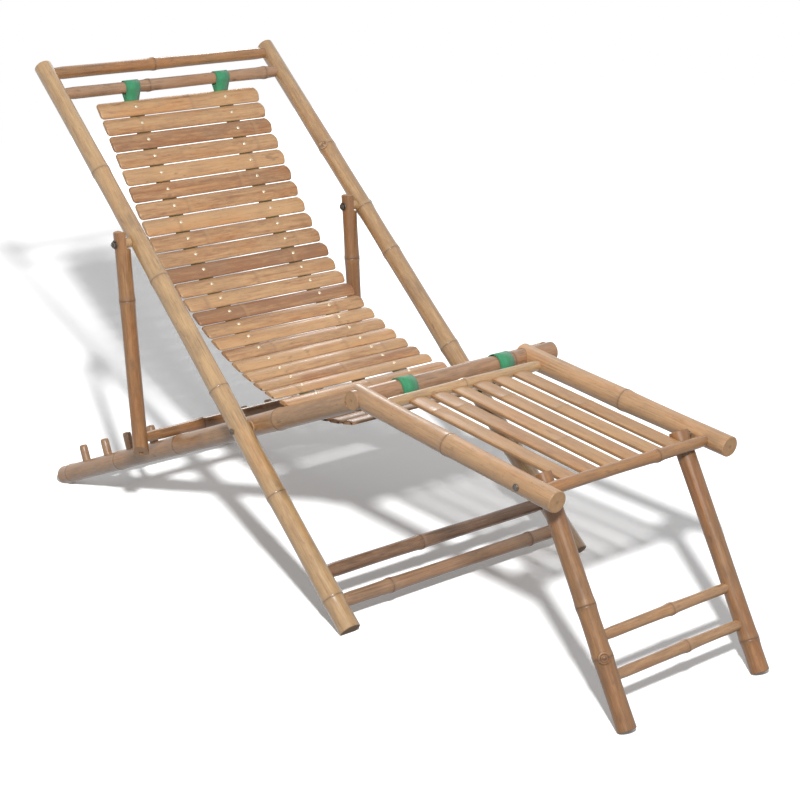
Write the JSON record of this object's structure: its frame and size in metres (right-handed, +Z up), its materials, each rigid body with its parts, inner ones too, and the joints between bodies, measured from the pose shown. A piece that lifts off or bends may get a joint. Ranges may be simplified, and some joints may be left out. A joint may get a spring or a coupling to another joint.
{
  "type": "bamboo folding recliner",
  "caption": "Reclining chair of bamboo culms with a slatted webbing sling, a swinging rear prop that stands on pegged rails, and a hook-on slatted footrest with folding legs.",
  "frame": {"origin": "On the floor, in the middle of the chair's outer box.", "axes": "+X is forward, to the footrest; +Y is the sitter's left; +Z is up."},
  "size_m": [1.7823, 0.646, 0.9822],
  "materials": {
    "golden_culm": "lacquered golden-tan bamboo culm",
    "dark_culm": "lacquered grey-brown bamboo culm",
    "orange_culm": "lacquered orange-brown bamboo culm",
    "sling_slat_bamboo": "split bamboo, clear lacquer",
    "footrest_slat_bamboo": "split bamboo, clear lacquer",
    "peg_wood": "turned hardwood dowel",
    "webbing": "woven green webbing",
    "rivet_metal": "small domed rivets",
    "bolt_steel": "dull zinc-plated steel"
  },
  "bodies": {
    "long_frame": {"back_rivets": "rivet_metal", "back_slat_01": "sling_slat_bamboo", "back_slat_02": "sling_slat_bamboo", "back_slat_03": "sling_slat_bamboo", "back_slat_04": "sling_slat_bamboo", "back_slat_05": "sling_slat_bamboo", "back_slat_06": "sling_slat_bamboo", "back_slat_07": "sling_slat_bamboo", "back_slat_08": "sling_slat_bamboo", "back_slat_09": "sling_slat_bamboo", "back_slat_10": "sling_slat_bamboo", "back_slat_11": "sling_slat_bamboo", "back_slat_12": "sling_slat_bamboo", "back_slat_13": "sling_slat_bamboo", "back_slat_14": "sling_slat_bamboo", "back_slat_15": "sling_slat_bamboo", "back_slat_16": "sling_slat_bamboo", "back_slat_17": "sling_slat_bamboo", "back_slat_18": "sling_slat_bamboo", "back_slat_19": "sling_slat_bamboo", "back_slat_20": "sling_slat_bamboo", "back_slat_21": "sling_slat_bamboo", "back_straps": "webbing", "foot_bar_lower": "dark_culm", "foot_bar_upper": "dark_culm", "head_bar": "golden_culm", "long_rail_left": "golden_culm", "long_rail_right": "golden_culm", "prop_bolts": "bolt_steel", "prop_collars": "golden_culm", "sling_bar": "dark_culm"},
    "footrest": {"footrest_front_bar": "orange_culm", "footrest_rail_left": "orange_culm", "footrest_rail_right": "orange_culm", "footrest_rear_bar": "orange_culm", "footrest_slats": "footrest_slat_bamboo", "leg_screws": "bolt_steel"},
    "seat_frame": {"front_bar": "dark_culm", "front_loops": "webbing", "pivot_bolts": "bolt_steel", "pivot_spacers": "golden_culm", "rail_pegs": "peg_wood", "rear_bar": "dark_culm", "seat_rail_left": "golden_culm", "seat_rail_right": "golden_culm"},
    "footrest_legs": {"leg_bar_lower": "orange_culm", "leg_bar_upper": "orange_culm", "leg_left": "orange_culm", "leg_right": "orange_culm"},
    "prop_frame": {"prop_bar": "golden_culm", "prop_left": "golden_culm", "prop_right": "golden_culm"},
    "sling_seat": {"seat_rivets": "rivet_metal", "seat_slat_22": "sling_slat_bamboo", "seat_slat_23": "sling_slat_bamboo", "seat_slat_24": "sling_slat_bamboo", "seat_slat_25": "sling_slat_bamboo", "seat_slat_26": "sling_slat_bamboo", "seat_slat_27": "sling_slat_bamboo", "seat_straps": "webbing"}
  },
  "joints": [
    {"name": "main_fold", "type": "hinge", "parent": "long_frame", "child": "seat_frame", "pos_m": [-0.02771, 0, 0.31619], "axis": [0, 1, 0], "range_deg": [-105, 0]},
    {"name": "sling_fold", "type": "hinge", "parent": "long_frame", "child": "sling_seat", "pos_m": [-0.00509, 0, 0.36238], "axis": [0, 1, 0], "range_deg": [-105, 0]},
    {"name": "prop_swing", "type": "hinge", "parent": "long_frame", "child": "prop_frame", "pos_m": [-0.35948, 0, 0.6377], "axis": [0, 1, 0], "range_deg": [0, 115]},
    {"name": "footrest_lift", "type": "slide", "parent": "seat_frame", "child": "footrest", "axis": [0, 0, 1], "range_m": [0, 0.1]},
    {"name": "leg_fold", "type": "hinge", "parent": "footrest", "child": "footrest_legs", "pos_m": [0.70169, 0, 0.36823], "axis": [0, 1, 0], "range_deg": [0, 115]}
  ],
  "couplings": [
    {"joint": "sling_fold", "follows": "main_fold", "ratio": 1}
  ]
}
